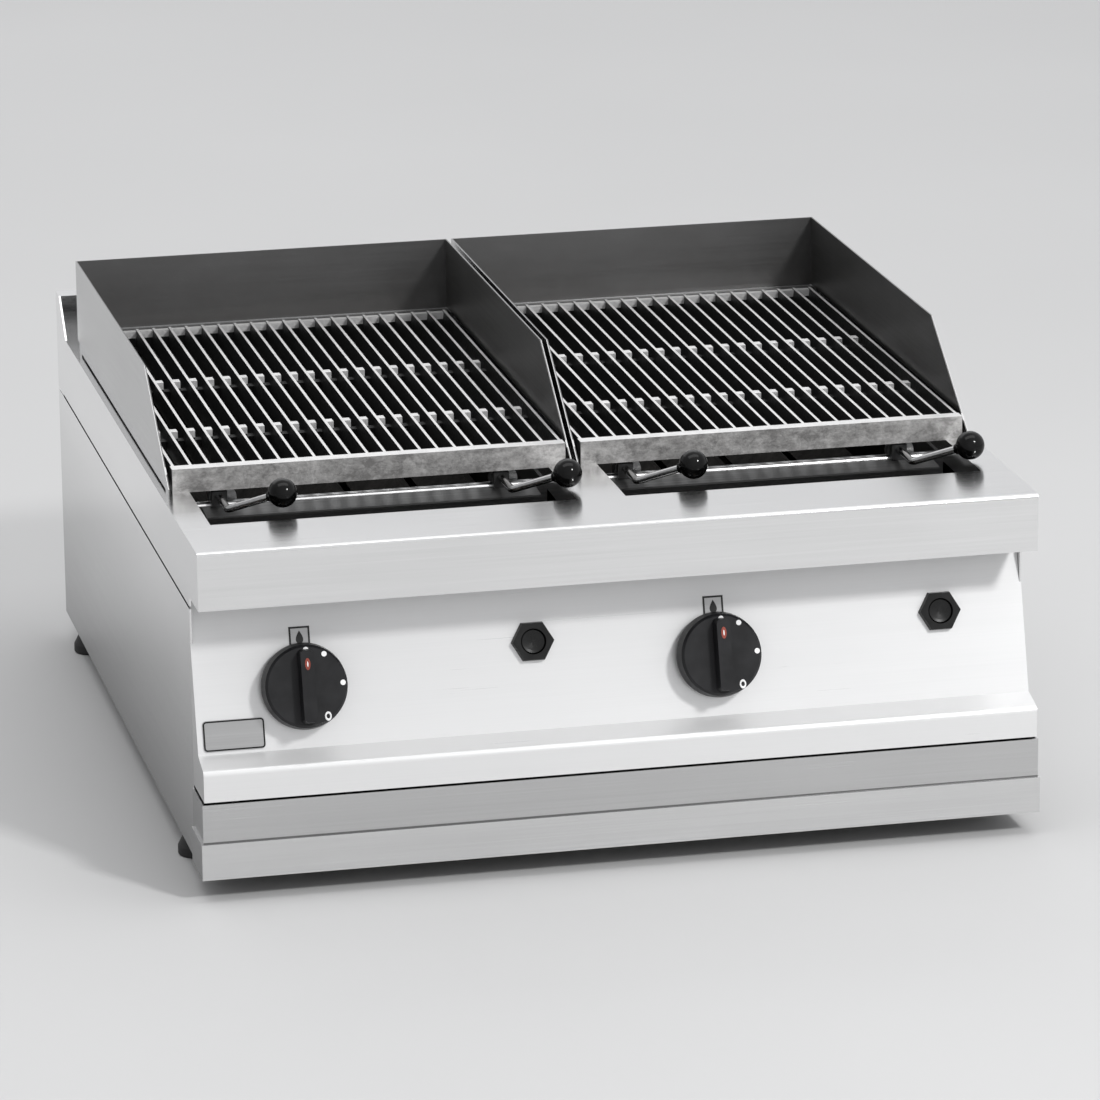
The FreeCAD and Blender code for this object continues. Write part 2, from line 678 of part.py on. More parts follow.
def crank(x, label):
    """Crank of bent round bar: a long shaft under the grate and a short arm for the ball."""
    setback = "crank_bend * tan((90 - arm_sweep) / 2 * 1 deg)"
    start = at_y(f"crank_front + {setback}")
    shaft = rod("crank_radius", f"{at_y('firebox_rear + 1')} - ({start})", y=start, along="y")
    bend = doc.addObject("Part::Torus", "Bend")
    bind(bend, "Radius1", "crank_bend")
    bind(bend, "Radius2", "crank_radius")
    bind(bend, "Angle3", "90 - arm_sweep")
    bend.Placement = FreeCAD.Placement(FreeCAD.Vector(), FreeCAD.Rotation(FreeCAD.Vector(0, 0, 1), 180))
    put(bend, "crank_bend", start, "0")
    arm = rod("crank_radius", f"crank_reach / cos(arm_sweep * 1 deg) - 3 - {setback}", setback, along="x")
    keep(on_crank(x, fuse(shaft, bend, on_arm(arm))), label)


def ball_grip(x, label):
    """Black ball with a short neck, bored for the arm."""
    ball = doc.addObject("Part::Sphere", "Ball")
    bind(ball, "Radius", "ball_radius")
    neck = cone("crank_radius + 1", "crank_radius + 3", "6", z="-ball_radius - 2")
    bore = rod("crank_radius", "ball_radius + 8.5", z="-ball_radius - 11.5")
    knob = cut(fuse(ball, neck), bore)
    knob.Placement = FreeCAD.Placement(FreeCAD.Vector(), FreeCAD.Rotation(FreeCAD.Vector(0, 1, 0), 90))
    put(knob, "crank_reach / cos(arm_sweep * 1 deg)", "0", "0")
    keep(on_crank(x, on_arm(knob)), label)


def lift_cams(x, label):
    """Two eccentric discs on a shaft, one under each bearing pad."""
    discs = []
    for start in ("grate_front + lip_depth + 7", "grate_rear - tail_depth - 15"):
        y = at_y(start)
        throw = "cam_throw * cos(45 deg)"
        disc = rod("cam_radius", "cam_width", f"{x} + {throw}", y, f"crank_axis - {throw}", "y")
        bore = rod("crank_radius", "cam_width + 2", x, f"{y} - 1", "crank_axis", "y")
        discs.append(cut(disc, bore))
    keep(group(*discs), label)


def shaft_brackets():
    """Bored lugs that carry each crank shaft at both ends of the firebox."""
    lugs = []
    for centre in MODULES:
        for side in (-1, 1):
            x = shaft_x(centre, side)
            for start in ("firebox_front + gauge - bracket_depth", "firebox_rear - bracket_depth"):
                y = at_y(start)
                foot = at_z("firebox_top")
                plate = block(f"{x} - bracket_half", y, foot, "2 * bracket_half", "bracket_depth",
                              f"worktop_top - 2.5 - ({foot})")
                bore = rod("crank_radius + bore_gap", "bracket_depth + 2", x, f"{y} - 1", "crank_axis", "y")
                lugs.append(cut(plate, bore))
    keep(group(*lugs), "shaft_brackets")


def firebox_rails():
    """Polished round rails behind the front lips of the fireboxes."""
    rails = []
    for centre in MODULES:
        rails.append(rod("rail_radius", "2 * (opening_half - gauge)", f"{centre} - opening_half + gauge",
                         at_y("firebox_front + gauge + rail_radius"), at_z("firebox_top - 1"), "x"))
    keep(group(*rails), "firebox_rails")


# ---- fireboxes ---------------------------------------------------------------------------------

def firebox(centre, label):
    """Four-sided sheet box, open above and below, with a sloping lip along its front."""
    body = new_body()
    low, high = f"{centre} - opening_half", f"{centre} + opening_half"
    front, rear = at_y("firebox_front"), at_y("firebox_rear")
    walls = new_sketch(body, "XY", at_z("firebox_low"))
    rectangle(walls, low, front, high, rear)
    rectangle(walls, f"{low} + gauge", f"{front} + gauge", f"{high} - gauge", f"{rear} - gauge")
    pad(body, walls, "firebox_top - firebox_low")
    tip = at_y("firebox_front - lip_run")
    top = at_z("firebox_top")
    lip = [(front + " + gauge / 2", top), (front + " + gauge / 2", top + " - gauge"),
           (tip, top + " - lip_fall - gauge"), (tip, top + " - lip_fall")]
    pad(body, outline(new_sketch(body, "YZ", centre), lip), "2 * lip_half", both_ways=True)
    inlet = circle(new_sketch(body, "XZ", f"-({front} + gauge)"), f"{centre} + knob_offset",
                   at_z("burner_height"), "burner_radius - 4")
    pocket(body, inlet, "4 * gauge", both_ways=True)
    keep(body, label)


def burner(centre, label):
    """Twin-tube burner: two ported tubes joined by a mixing tube, with its inlet to the front."""
    z = at_z("burner_height")
    length = "burner_rear - burner_front"
    tubes = []
    hollows = []
    for side in (-1, 1):
        x = f"{centre} + {side} * burner_half"
        tubes.append(rod("burner_radius", length, x, at_y("burner_front"), z, "y"))
        hollows.append(rod("burner_radius - tube_wall", f"{length} - 2 * tube_wall", x,
                           at_y("burner_front + tube_wall"), z, "y"))
        for index in range(int(number("port_count"))):
            y = at_y(f"burner_front + 25 + {index} * ({length} - 50) / (port_count - 1)")
            hollows.append(rod("1.6", "burner_radius + 2", x, y, z))
    mixer_y = at_y("burner_front + burner_radius + 4")
    tubes.append(rod("burner_radius - 5", "2 * burner_half", f"{centre} - burner_half", mixer_y, z, "x"))
    hollows.append(rod("burner_radius - 7", "2 * burner_half", f"{centre} - burner_half", mixer_y, z, "x"))
    inlet_x = f"{centre} + knob_offset"
    start = at_y("firebox_front - 20")
    run = "burner_front - firebox_front + 35"
    tubes.append(rod("burner_radius - 4", run, inlet_x, start, z, "y"))
    hollows.append(rod("burner_radius - 6", run, inlet_x, f"{start} - 1", z, "y"))
    keep(cut(fuse(*tubes), *hollows), label)


def radiant_rack(centre, label):
    """Inverted-V radiants over the burner on two cross rails."""
    body = new_body()
    front, rear = at_y("firebox_front + 14"), at_y("firebox_rear - 14")
    span = "2 * (opening_half - radiant_half - 8)"
    middle = f"{centre} - ({span}) / 2"
    foot = at_z("radiant_base")
    top = f"{foot} + radiant_rise"
    vee = [(f"{middle} - radiant_half", foot), (middle, top), (f"{middle} + radiant_half", foot),
           (f"{middle} + radiant_half - 2.6", foot), (middle, f"{top} - 2.6"),
           (f"{middle} - radiant_half + 2.6", foot)]
    vee_sketch = outline(new_sketch(body, "XZ", f"-({rear})"), vee)
    first = pad(body, vee_sketch, f"{rear} - ({front})")
    rails = new_sketch(body, "XY", f"{foot} - 4")
    for start in (f"{front} + 4", f"{rear} - 12"):
        rectangle(rails, f"{centre} - opening_half + gauge", start, f"{centre} + opening_half - gauge",
                  f"{start} + 8")
    repeat(body, first, vee_sketch, "H_Axis", span, "radiant_count")
    pad(body, rails, "4.5")
    keep(body, label)


def grease_tray(centre, label):
    """Shallow removable pan under the burner."""
    body = new_body()
    low, high = f"{centre} - tray_half", f"{centre} + tray_half"
    front, rear = at_y("tray_front"), at_y("tray_rear")
    floor = at_z("tray_low")
    pad(body, rectangle(new_sketch(body, "XY", floor), low, front, high, rear), "tray_depth")
    inside = rectangle(new_sketch(body, "XY", f"{floor} + gauge"), f"{low} + gauge", f"{front} + gauge",
                       f"{high} - gauge", f"{rear} - gauge")
    pocket(body, inside, "tray_depth + 5", reverse=True)
    keep(body, label)


def tray_runners():
    """Angle runners that hold the grease trays over the bottom pan."""
    strips = []
    for centre in MODULES:
        for side in (-1, 1):
            x = f"{centre} + {side} * (tray_half - 16) - 8"
            start, length = at_y("tray_front + 10"), "tray_rear - tray_front - 20"
            web = block(x, start, at_z("gauge"), "2", length, "tray_low - gauge")
            rest = block(x, start, at_z("tray_low - 2"), "16", length, "2")
            strips.append(fuse(web, rest))
    keep(group(*strips), "tray_runners")


# ---- gas line ----------------------------------------------------------------------------------

def gas_manifold():
    """Pipe across the front that turns back along the right side to the rear inlet."""
    z = at_z("manifold_height")
    y = at_y("manifold_back")
    bend = "25"
    start = "-(module_x - knob_offset + 30)"

    def run(radius, extra):
        across = rod(radius, f"inlet_x - {bend} - ({start}) + {extra}", f"{start} - {extra}", y, z, "x")
        elbow = doc.addObject("Part::Torus", "Elbow")
        bind(elbow, "Radius1", bend)
        bind(elbow, "Radius2", radius)
        elbow.Angle3 = 90
        turned = FreeCAD.Rotation(FreeCAD.Vector(0, 0, 1), -90)
        elbow.Placement = FreeCAD.Placement(FreeCAD.Vector(), turned)
        turn_end = f"{y} + {bend}"
        put(elbow, f"inlet_x - {bend}", turn_end, z)
        back = rod(radius, f"rear_edge - 2 - ({turn_end}) + 2 * ({extra})", "inlet_x", turn_end, z, "y")
        return fuse(across, elbow, back)

    collar = rod("manifold_radius + 4", "collar_depth", "inlet_x", "back_face", z, "y")
    pipe = fuse(run("manifold_radius", "0"), collar)
    keep(cut(pipe, run("manifold_radius - tube_wall", "-tube_wall")), "gas_manifold")


def gas_valve(centre, label):
    """Tapered valve body behind the fascia, bored for its stem, with an outlet to the rear."""
    top = rod("14", "26", z="-38")
    body = rod("12", "24", z="-62")
    bore = rod("stem_radius + bore_gap", "21", z="-32")
    local = cut(fuse(top, body), bore)
    barrel = on_fascia(group(local), f"{centre} + knob_offset", "knob_height")
    x = f"{centre} + knob_offset"
    saddle_low = at_z("manifold_height + manifold_radius - 1")
    saddle_length = "burner_height - manifold_height - manifold_radius"
    saddle = rod("7", saddle_length, x, at_y("manifold_back"), saddle_low)
    outlet = rod("7", "24", x, at_y("manifold_back + 3"), at_z("burner_height"), "y")
    seat = rod("manifold_radius", "60", f"{x} - 30", at_y("manifold_back"), at_z("manifold_height"), "x")
    stem_bore = rod("stem_radius + bore_gap", "40", z="-32")
    clearance = on_fascia(group(stem_bore), x, "knob_height")
    keep(cut(fuse(barrel, saddle, outlet), seat, clearance), label)


def feed_pipe(centre, label):
    """Straight pipe and injector from the valve outlet to the burner's inlet."""
    x = f"{centre} + knob_offset"
    z = at_z("burner_height")
    start = "manifold_back + 27"
    pipe = rod("4", f"firebox_front - 26 - ({start})", x, at_y(start), z, "y")
    nut = rod("8", "10", x, at_y(start), z, "y")
    injector = rod("7", "12", x, at_y("firebox_front - 38"), z, "y")
    keep(fuse(pipe, nut, injector), label)


def valve_stem(centre, label):
    """Round stem with a flat at its outer end."""
    stem = rod("stem_radius", "43", z="-27")
    flat = block("-10", "2.6", "7", "20", "10", "30")
    keep(on_fascia(cut(stem, flat), f"{centre} + knob_offset", "knob_height"), label)


def push_collar(centre, label):
    """Spring collar under the knob; it slides with the stem and doesn't turn."""
    ring = rod("collar_radius", "7", z="-2")
    bore = rod("stem_radius + bore_gap", "12", z="-4")
    keep(on_fascia(cut(ring, bore), f"{centre} + knob_offset", "knob_height"), label)


def control_knob(centre, label):
    """Round knob with a raised grip bar, hollow behind, with a bored hub."""
    body = new_body()
    shell = [("0", "knob_gap"), ("knob_radius", "knob_gap"), ("knob_radius", "knob_gap + 3"),
             ("knob_radius - 1.5", "knob_face - 2"), ("knob_radius - 3.5", "knob_face"), ("0", "knob_face")]
    revolve(body, shell)
    grip_length = "knob_radius - 5"
    grip = [("-grip_width / 2", f"-({grip_length})"), ("grip_width / 2", f"-({grip_length})"),
            ("grip_width / 2", grip_length), ("-grip_width / 2", grip_length)]
    bar = pad(body, outline(new_sketch(body, "XY", "knob_face - 1"), grip), "grip_height + 1")
    bar.TaperAngle = -5
    hollow = new_sketch(body, "XY", "knob_gap")
    circle(hollow, "0", "0", "knob_radius - 3")
    circle(hollow, "0", "0", "stem_radius + 5")
    pocket(body, hollow, "knob_face - knob_gap - 4", reverse=True)
    bore = circle(new_sketch(body, "XY", "knob_gap"), "0", "0", "stem_radius")
    last = pocket(body, bore, "11", reverse=True)

    def grip_ends(edge, middle):
        tall = abs(edge.tangentAt(edge.FirstParameter).z) > 0.9
        return tall and middle.z > number("knob_face") and abs(middle.y) > number(grip_length) - 3

    round_edges(body, last, "grip_width / 2 - 2.5", grip_ends)
    keep(on_fascia(body, f"{centre} + knob_offset", "knob_height"), label)


# ---- igniters ----------------------------------------------------------------------------------

def igniter_bezel(centre, label):
    """Hexagonal bezel with a barrel through the fascia."""
    body = new_body()
    corner = "bezel_flats / 2 / cos(30 deg)"
    points = [(f"{corner} * cos({60 * i} deg)", f"{corner} * sin({60 * i} deg)") for i in range(6)]
    hexagon = pad(body, outline(new_sketch(body, "XY"), points), "bezel_height")
    hexagon.TaperAngle = -8
    barrel = circle(new_sketch(body, "XY", "-12"), "0", "0", "barrel_radius")
    pad(body, barrel, "12.5")
    bore = circle(new_sketch(body, "XY", "-13"), "0", "0", "barrel_bore")
    pocket(body, bore, "30", reverse=True)
    keep(on_fascia(body, f"{centre} + igniter_offset", "igniter_height"), label)


def igniter_button(centre, label):
    """Push button with a dished face."""
    body = new_body()
    revolve(body, [("0", "-15"), ("button_radius", "-15"), ("button_radius", "2.6"),
                   ("button_radius - 1", "3.4"), ("button_radius - 3", "3"), ("0", "2")])
    keep(on_fascia(body, f"{centre} + igniter_offset", "igniter_height"), label)


def igniter_body(centre, label):
    """Piezo igniter behind the bezel, with its terminal."""
    case = rod("barrel_radius", "38", z="-50")
    well = rod("barrel_bore", "9", z="-20")
    terminal = rod("3", "12", z="-60")
    keep(on_fascia(cut(fuse(case, terminal), well), f"{centre} + igniter_offset", "igniter_height"), label)


def pilot_burners():
    """Pilot head and its bracket inside each firebox's front wall."""
    heads = []
    for centre in MODULES:
        x = f"{centre} + 20"
        arm = block(f"{x} - 6", at_y("firebox_front + gauge"), at_z("burner_height + 18"), "12", "40", "2")
        head = rod("5", "24", x, at_y("firebox_front + 36"), at_z("burner_height + 18"))
        heads.append(fuse(arm, head))
    keep(group(*heads), "pilot_burners")


def spark_electrodes():
    """Ceramic-cored electrodes beside the pilot heads."""
    items = []
    for centre in MODULES:
        x = f"{centre} + 34"
        arm = block(f"{x} - 5", at_y("firebox_front + gauge"), at_z("burner_height + 18"), "10", "38", "2")
        core = rod("4", "22", x, at_y("firebox_front + 34"), at_z("burner_height + 18"))
        tip = rod("1.2", "12", x, at_y("firebox_front + 34"), at_z("burner_height + 39"))
        items.append(fuse(arm, core, tip))
    keep(group(*items), "spark_electrodes")


# ---- trim and feet -----------------------------------------------------------------------------

def name_plate():
    """Blank badge with rounded corners at the foot of the fascia."""
    body = new_body()
    half_w, half_t = "plate_wide / 2", "plate_tall / 2"
    plate = rectangle(new_sketch(body, "XY"), f"-{half_w}", f"-{half_t}", half_w, half_t)
    blank = pad(body, plate, "1")
    round_edges(body, blank, "3", lambda edge, middle: abs(edge.tangentAt(edge.FirstParameter).z) > 0.9)
    keep(on_fascia(body, "plate_x", "plate_height"), "name_plate")


def feet():
    """Four black feet screwed under the casing."""
    items = []
    for side in (-1, 1):
        for y in ("foot_front", "foot_rear"):
            body = new_body()
            revolve(body, [("0", "0"), ("foot_radius - 1", "0"), ("foot_radius", "1.5"), ("foot_radius", "8"),
                           ("foot_radius - 4", "foot_height - 3"), ("foot_radius - 4", "foot_height"),
                           ("0", "foot_height")])
            put(body, f"{side} * foot_x", at_y(y), "0")
            items.append(body)
    keep(group(*items), "feet")


# ---- assembly ----------------------------------------------------------------------------------

side_panel(-1, "left_side_panel")
side_panel(1, "right_side_panel")
back_panel()
panel_screws()
bottom_pan()
front_wrap("base_front_panel", "body_width / 2 + base_overlap", "base_front", "gauge",
           "base_height")
front_wrap("base_skirt", "width / 2", "nose_setback", "skirt_gauge", "skirt_height")
control_fascia()
front_nose()
worktop()
rear_upstand()
flue_grille()
for side, centre in zip(("left", "right"), MODULES):
    splash_guard(centre, side + "_splash_guard")
    grate(centre, side + "_grate")
    firebox(centre, side + "_firebox")
    burner(centre, side + "_burner")
    radiant_rack(centre, side + "_radiant_rack")
    grease_tray(centre, side + "_grease_tray")
    gas_valve(centre, side + "_gas_valve")
    feed_pipe(centre, side + "_feed_pipe")
    valve_stem(centre, side + "_valve_stem")
    push_collar(centre, side + "_push_collar")
    control_knob(centre, side + "_control_knob")
    igniter_bezel(centre, side + "_igniter_bezel")
    igniter_button(centre, side + "_igniter_button")
    igniter_body(centre, side + "_igniter_body")
    for end, shaft in (("a", -1), ("b", 1)):
        x = shaft_x(centre, shaft)
        crank(x, f"{side}_crank_{end}")
        ball_grip(x, f"{side}_ball_{end}")
        lift_cams(x, f"{side}_cams_{end}")
shaft_brackets()
firebox_rails()
tray_runners()
gas_manifold()
pilot_burners()
spark_electrodes()
name_plate()
feet()

doc.recompute()
faulty = [item.Name for item in doc.Objects if "Invalid" in item.State or "Error" in item.State]
if faulty:
    raise RuntimeError("objects failed to build: " + ", ".join(faulty))
os.makedirs("parts", exist_ok=True)
for item in subparts:
    shape = item.Shape
    if shape.isNull() or not shape.isValid() or not shape.Solids:
        raise RuntimeError("sub-part has no valid solid: " + item.Label)
    shape.exportStep(f"parts/{item.Label}.step")
    print(f"{item.Label:22s} solids {len(shape.Solids):2d} volume {shape.Volume / 1000:9.2f} cm3")
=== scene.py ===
import json
import math

import bpy
from mathutils import Matrix, Vector


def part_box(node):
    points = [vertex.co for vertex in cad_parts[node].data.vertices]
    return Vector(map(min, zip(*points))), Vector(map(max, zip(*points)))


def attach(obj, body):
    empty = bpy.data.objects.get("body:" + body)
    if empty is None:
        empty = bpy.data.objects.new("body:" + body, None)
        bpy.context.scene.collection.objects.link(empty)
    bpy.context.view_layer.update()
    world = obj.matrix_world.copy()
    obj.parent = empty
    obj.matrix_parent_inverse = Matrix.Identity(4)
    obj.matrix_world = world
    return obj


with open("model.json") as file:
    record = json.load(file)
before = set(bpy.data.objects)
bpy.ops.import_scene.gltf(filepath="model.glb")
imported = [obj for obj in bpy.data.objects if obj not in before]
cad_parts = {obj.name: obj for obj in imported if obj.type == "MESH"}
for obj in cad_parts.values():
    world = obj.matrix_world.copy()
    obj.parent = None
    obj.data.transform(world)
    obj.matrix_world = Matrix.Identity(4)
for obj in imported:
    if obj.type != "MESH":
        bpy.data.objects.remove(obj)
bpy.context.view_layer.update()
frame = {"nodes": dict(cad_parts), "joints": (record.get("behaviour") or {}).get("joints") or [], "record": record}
NODES = frame["nodes"]
JOINTS = {joint["name"]: joint for joint in frame["joints"]}
SIDES = ("left", "right")
MM = 0.001

SURROUND = 0.82                # brightness of the world
LEFT_SURROUND = 0.52           # the same on the left
SHELF_DROP = 65.5 * MM         # top of a splash guard down to its rear shelf
SHELF_HALF = 2.2 * MM          # the shelf's edge either side of that height
SHEET_FACE = 0.7 * MM          # less than half a guard's sheet thickness, in from its outer face
LINE_HALF = 0.5 * MM           # dark core of the painted shadow line along the seam
GRATE_FRONT = 12.5 * MM        # depth of a grate's front bar
NUB_DROP = 7.0 * MM            # grate top down to the foot of a cross bar's nubs
CROWN_DROP = 3.0 * MM          # grate top down to where the bars' worn tops, with their painted highlight, end
GRIP_HEIGHT = 11 * MM          # knob face to the top of its grip
PRINT = 0.25 * MM              # half thickness of printed marks
DIAL_RADIUS = 29.5 * MM
DIAL_DOTS = (88, 58, 2)
DIAL_ZERO = -58
INDEX_REACH = 18 * MM          # knob axis to the middle of the red index
PICTOGRAM_HALF = 8.5 * MM
PICTOGRAM_RISE = 39.5 * MM     # knob axis to the middle of the label over it
FRAME_WIDTH = 1.5 * MM
THREAD_TURNS = 8
THREAD_STEPS = 24
FOCAL = 191.2
SENSOR = 36.0
CAMERA_AT = Vector((-1.0494, -4.7616, 1.5737))
CAMERA_ANGLES = (16.161, -12.714, -0.528)    # elevation, azimuth and roll


# ---- node materials --------------------------------------------------------------

class Graph:
    """A material's node tree with short calls for the nodes used here."""

    def __init__(self, name, metallic=0.0, **constants):
        self.material = bpy.data.materials.new(name)
        self.material.use_nodes = True
        self.tree = self.material.node_tree
        self.shader = self.tree.nodes["Principled BSDF"]
        self.shader.inputs["Metallic"].default_value = metallic
        for socket, value in constants.items():
            self.shader.inputs[socket.replace("_", " ")].default_value = value
        self.coordinates = self.tree.nodes.new("ShaderNodeTexCoord").outputs["Object"]

    def node(self, kind, settings=(), **inputs):
        item = self.tree.nodes.new("ShaderNode" + kind)
        for field, value in dict(settings).items():
            setattr(item, field, value)
        for socket, value in inputs.items():
            numbered = socket[0] == "i" and socket[1:].isdigit()
            name = int(socket[1:]) if numbered else socket.replace("_", " ")
            if isinstance(value, bpy.types.NodeSocket):
                self.tree.links.new(value, item.inputs[name])
            else:
                item.inputs[name].default_value = value
        return item

    def math(self, operation, first, second=0.0):
        settings = {"operation": operation}
        return self.node("Math", settings, i0=first, i1=second).outputs[0]

    def noise(self, scale, detail=3.0, stretch=(1, 1, 1), roughness=0.5):
        moved = self.node("Mapping", Vector=self.coordinates, Scale=stretch).outputs[0]
        noise = self.node("TexNoise", Vector=moved, Scale=scale, Detail=detail, Roughness=roughness)
        return noise.outputs["Fac"]

    def remap(self, value, low, high, new_low=0.0, new_high=1.0):
        return self.node("MapRange", {"clamp": True}, Value=value, From_Min=low, From_Max=high,
                         To_Min=new_low, To_Max=new_high).outputs[0]

    def mix(self, factor, first, second):
        item = self.node("Mix", {"data_type": "RGBA"}, i0=factor)
        for socket, value in ((item.inputs[6], first), (item.inputs[7], second)):
            if isinstance(value, bpy.types.NodeSocket):
                self.tree.links.new(value, socket)
            else:
                socket.default_value = (*value, 1)
        return item.outputs[2]

    def normal(self):
        return self.node("SeparateXYZ", Vector=self.node("NewGeometry").outputs["Normal"]).outputs

    def place(self):
        return self.node("SeparateXYZ", Vector=self.coordinates).outputs

    def facing(self, axis, threshold=0.5):
        """1 on faces whose normal lies along an axis, either way."""
        size = self.math("ABSOLUTE", self.normal()[axis])
        return self.math("GREATER_THAN", size, threshold)

    def across_grain(self, side):
        """The direction in a face that lies across the grain: along Y on side faces, else along X."""
        grain = self.node("CombineXYZ", X=self.math("SUBTRACT", 1.0, side), Y=side).outputs[0]
        normal = self.node("NewGeometry").outputs["Normal"]
        return self.node("VectorMath", {"operation": "CROSS_PRODUCT"}, i0=normal, i1=grain).outputs[0]

    def link(self, value, socket):
        self.tree.links.new(value, self.shader.inputs[socket])

    def bump(self, height, strength, distance):
        item = self.node("Bump", Height=height, Strength=strength, Distance=distance)
        self.link(item.outputs[0], "Normal")


def grey(value, warm=0.0):
    return (value * (1 + warm), value, value * (1 - warm))


def brushed_steel(name, tone, low_rough, high_rough, flanks=(0.30, 0.92), seam_at=None,
                  metallic=1.0, grain_depth=0.08, smudge=0.05):
    """Sheet steel with fine grain along its length and faint wiping marks.

    Its undersides carry painted shade, its flanks a painted shade that darkens towards the foot, and the seam at
    seam_at a painted shadow line.
    """
    graph = Graph(name, metallic, Anisotropic=0.5)
    along_x = graph.noise(1.0, 5.0, (5, 900, 900))
    along_y = graph.noise(1.0, 5.0, (900, 5, 900))
    side = graph.facing(0)
    grain = graph.math("ADD", graph.math("MULTIPLY", side, along_y),
                       graph.math("MULTIPLY", graph.math("SUBTRACT", 1.0, side), along_x))
    cloud = graph.noise(5.0, 4.0, (1, 1, 2.5))
    shade = graph.math("ADD", graph.math("MULTIPLY", grain, 0.6), graph.math("MULTIPLY", cloud, 0.4))
    colour = graph.mix(graph.remap(shade, 0.35, 0.65),
                       grey(tone * (1 - smudge)), grey(tone * (1 + smudge)))
    # painted shade: faces turned to the sides run from flanks[0] of the tone at 0.03 m up to flanks[1] at 0.28 m
    height = graph.math("ADD", graph.place()[2], graph.math("MULTIPLY", cloud, 0.05))
    flank_shade = graph.mix(graph.remap(height, 0.03, 0.28), grey(tone * flanks[0]), grey(tone * flanks[1]))
    colour = graph.mix(side, colour, flank_shade)
    # painted shadow: a dark line along the seam at seam_at
    if seam_at is not None:
        over_seam = graph.math("SUBTRACT", graph.place()[2], seam_at + 0.8 * MM)
        off_seam = graph.math("ABSOLUTE", over_seam)
        colour = graph.mix(graph.remap(off_seam, LINE_HALF, 2.2 * LINE_HALF), grey(tone * 0.3), colour)
    # painted shade: faces turned downwards are darkened to 0.3 of the tone
    below = graph.math("LESS_THAN", graph.normal()[2], -0.7)
    graph.link(graph.mix(below, colour, grey(tone * 0.3)), "Base Color")
    graph.link(graph.remap(shade, 0.3, 0.7, low_rough, high_rough), "Roughness")
    graph.bump(grain, grain_depth, 0.00006)
    graph.link(graph.across_grain(side), "Tangent")
    return graph


def guard_steel(name, outside, inside, node_name):
    """Brushed sheet whose inner faces are darker and mottled, lighter towards the top, and rougher."""
    graph = brushed_steel(name, outside, 0.18, 0.27, flanks=(0.92, 1.0))
    low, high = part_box(node_name)
    centre, half = abs((low.x + high.x) / 2), (high.x - low.x) / 2
    place = graph.place()
    off_centre = graph.math("SUBTRACT", graph.math("ABSOLUTE", place[0]), centre)
    off_centre = graph.math("ABSOLUTE", off_centre)
    between = graph.math("LESS_THAN", off_centre, half - SHEET_FACE)
    before = graph.math("LESS_THAN", place[1], high.y - SHEET_FACE)
    over_shelf = graph.math("SUBTRACT", place[2], high.z - SHELF_DROP)
    off_shelf = graph.math("GREATER_THAN", graph.math("ABSOLUTE", over_shelf), SHELF_HALF)
    inner = graph.math("MULTIPLY", graph.math("MULTIPLY", between, before), off_shelf)
    cloud = graph.noise(9.0, 5.0, (1, 1, 1.8), 0.6)
    height = graph.remap(place[2], low.z, high.z)
    inner_mottle = graph.math("ADD", graph.math("MULTIPLY", cloud, 0.7), graph.math("MULTIPLY", height, 0.3))
    inner_colour = graph.mix(graph.remap(inner_mottle, 0.3, 0.8), grey(inside * 0.8, 0.02), grey(inside * 1.2))
    outer = graph.shader.inputs["Base Color"].links[0].from_socket
    graph.link(graph.mix(inner, outer, inner_colour), "Base Color")
    clean = graph.shader.inputs["Roughness"].links[0].from_socket
    spread = graph.math("ADD", graph.math("MULTIPLY", inner, 0.16), clean)
    graph.link(spread, "Roughness")
    return graph


def cast_iron(name, dark, light, bright, node_name):
    """Mottled casting with wear and a painted highlight along its upper edges and nubs, and painted shade on the
    bars' sides and between the bars.
    """
    graph = Graph(name, 0.6)
    low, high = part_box(node_name)
    blotch = graph.noise(85.0, 6.0, (1, 1, 1.5), 0.75)
    broad = graph.noise(22.0, 3.0)
    fine = graph.noise(420.0, 2.0)
    mottle = graph.math("ADD", graph.math("MULTIPLY", blotch, 0.65), graph.math("MULTIPLY", broad, 0.35))
    skin = graph.mix(graph.remap(mottle, 0.40, 0.60), grey(dark, 0.02), grey(light, 0.015))
    place = graph.place()
    # wear and painted highlight: upward faces at the bars' tops and the nubs' faces are made bright
    wear_and_highlight = graph.mix(graph.remap(blotch, 0.3, 0.7), grey(bright * 0.8), grey(bright, 0.01))
    crown = graph.math("MULTIPLY", graph.remap(graph.normal()[2], 0.75, 0.98),
                       graph.remap(place[2], high.z - CROWN_DROP, high.z - CROWN_DROP / 2))
    behind = graph.math("GREATER_THAN", place[1], low.y + GRATE_FRONT)
    raised = graph.math("GREATER_THAN", place[2], high.z - NUB_DROP)
    faces = graph.math("MULTIPLY", graph.facing(1, 0.7), behind)
    nubs = graph.math("MULTIPLY", faces, raised)
    shaded = graph.math("MULTIPLY", faces, graph.math("SUBTRACT", 1.0, raised))
    under_top = graph.math("LESS_THAN", place[2], high.z - CROWN_DROP)
    sunk = graph.math("MULTIPLY", graph.facing(2, 0.7), under_top)
    # painted shade: faces turned along X, lower faces turned along Y and sunk upward faces are set near black
    black = graph.math("MAXIMUM", graph.facing(0, 0.7), graph.math("MAXIMUM", shaded, sunk))
    lit = graph.mix(graph.math("MAXIMUM", crown, nubs), skin, wear_and_highlight)
    graph.link(graph.mix(black, lit, grey(0.022)), "Base Color")
    graph.link(graph.remap(fine, 0.3, 0.7, 0.36, 0.56), "Roughness")
    rough = graph.math("ADD", blotch, graph.math("MULTIPLY", fine, 0.35))
    graph.bump(rough, 0.5, 0.0005)
    return graph


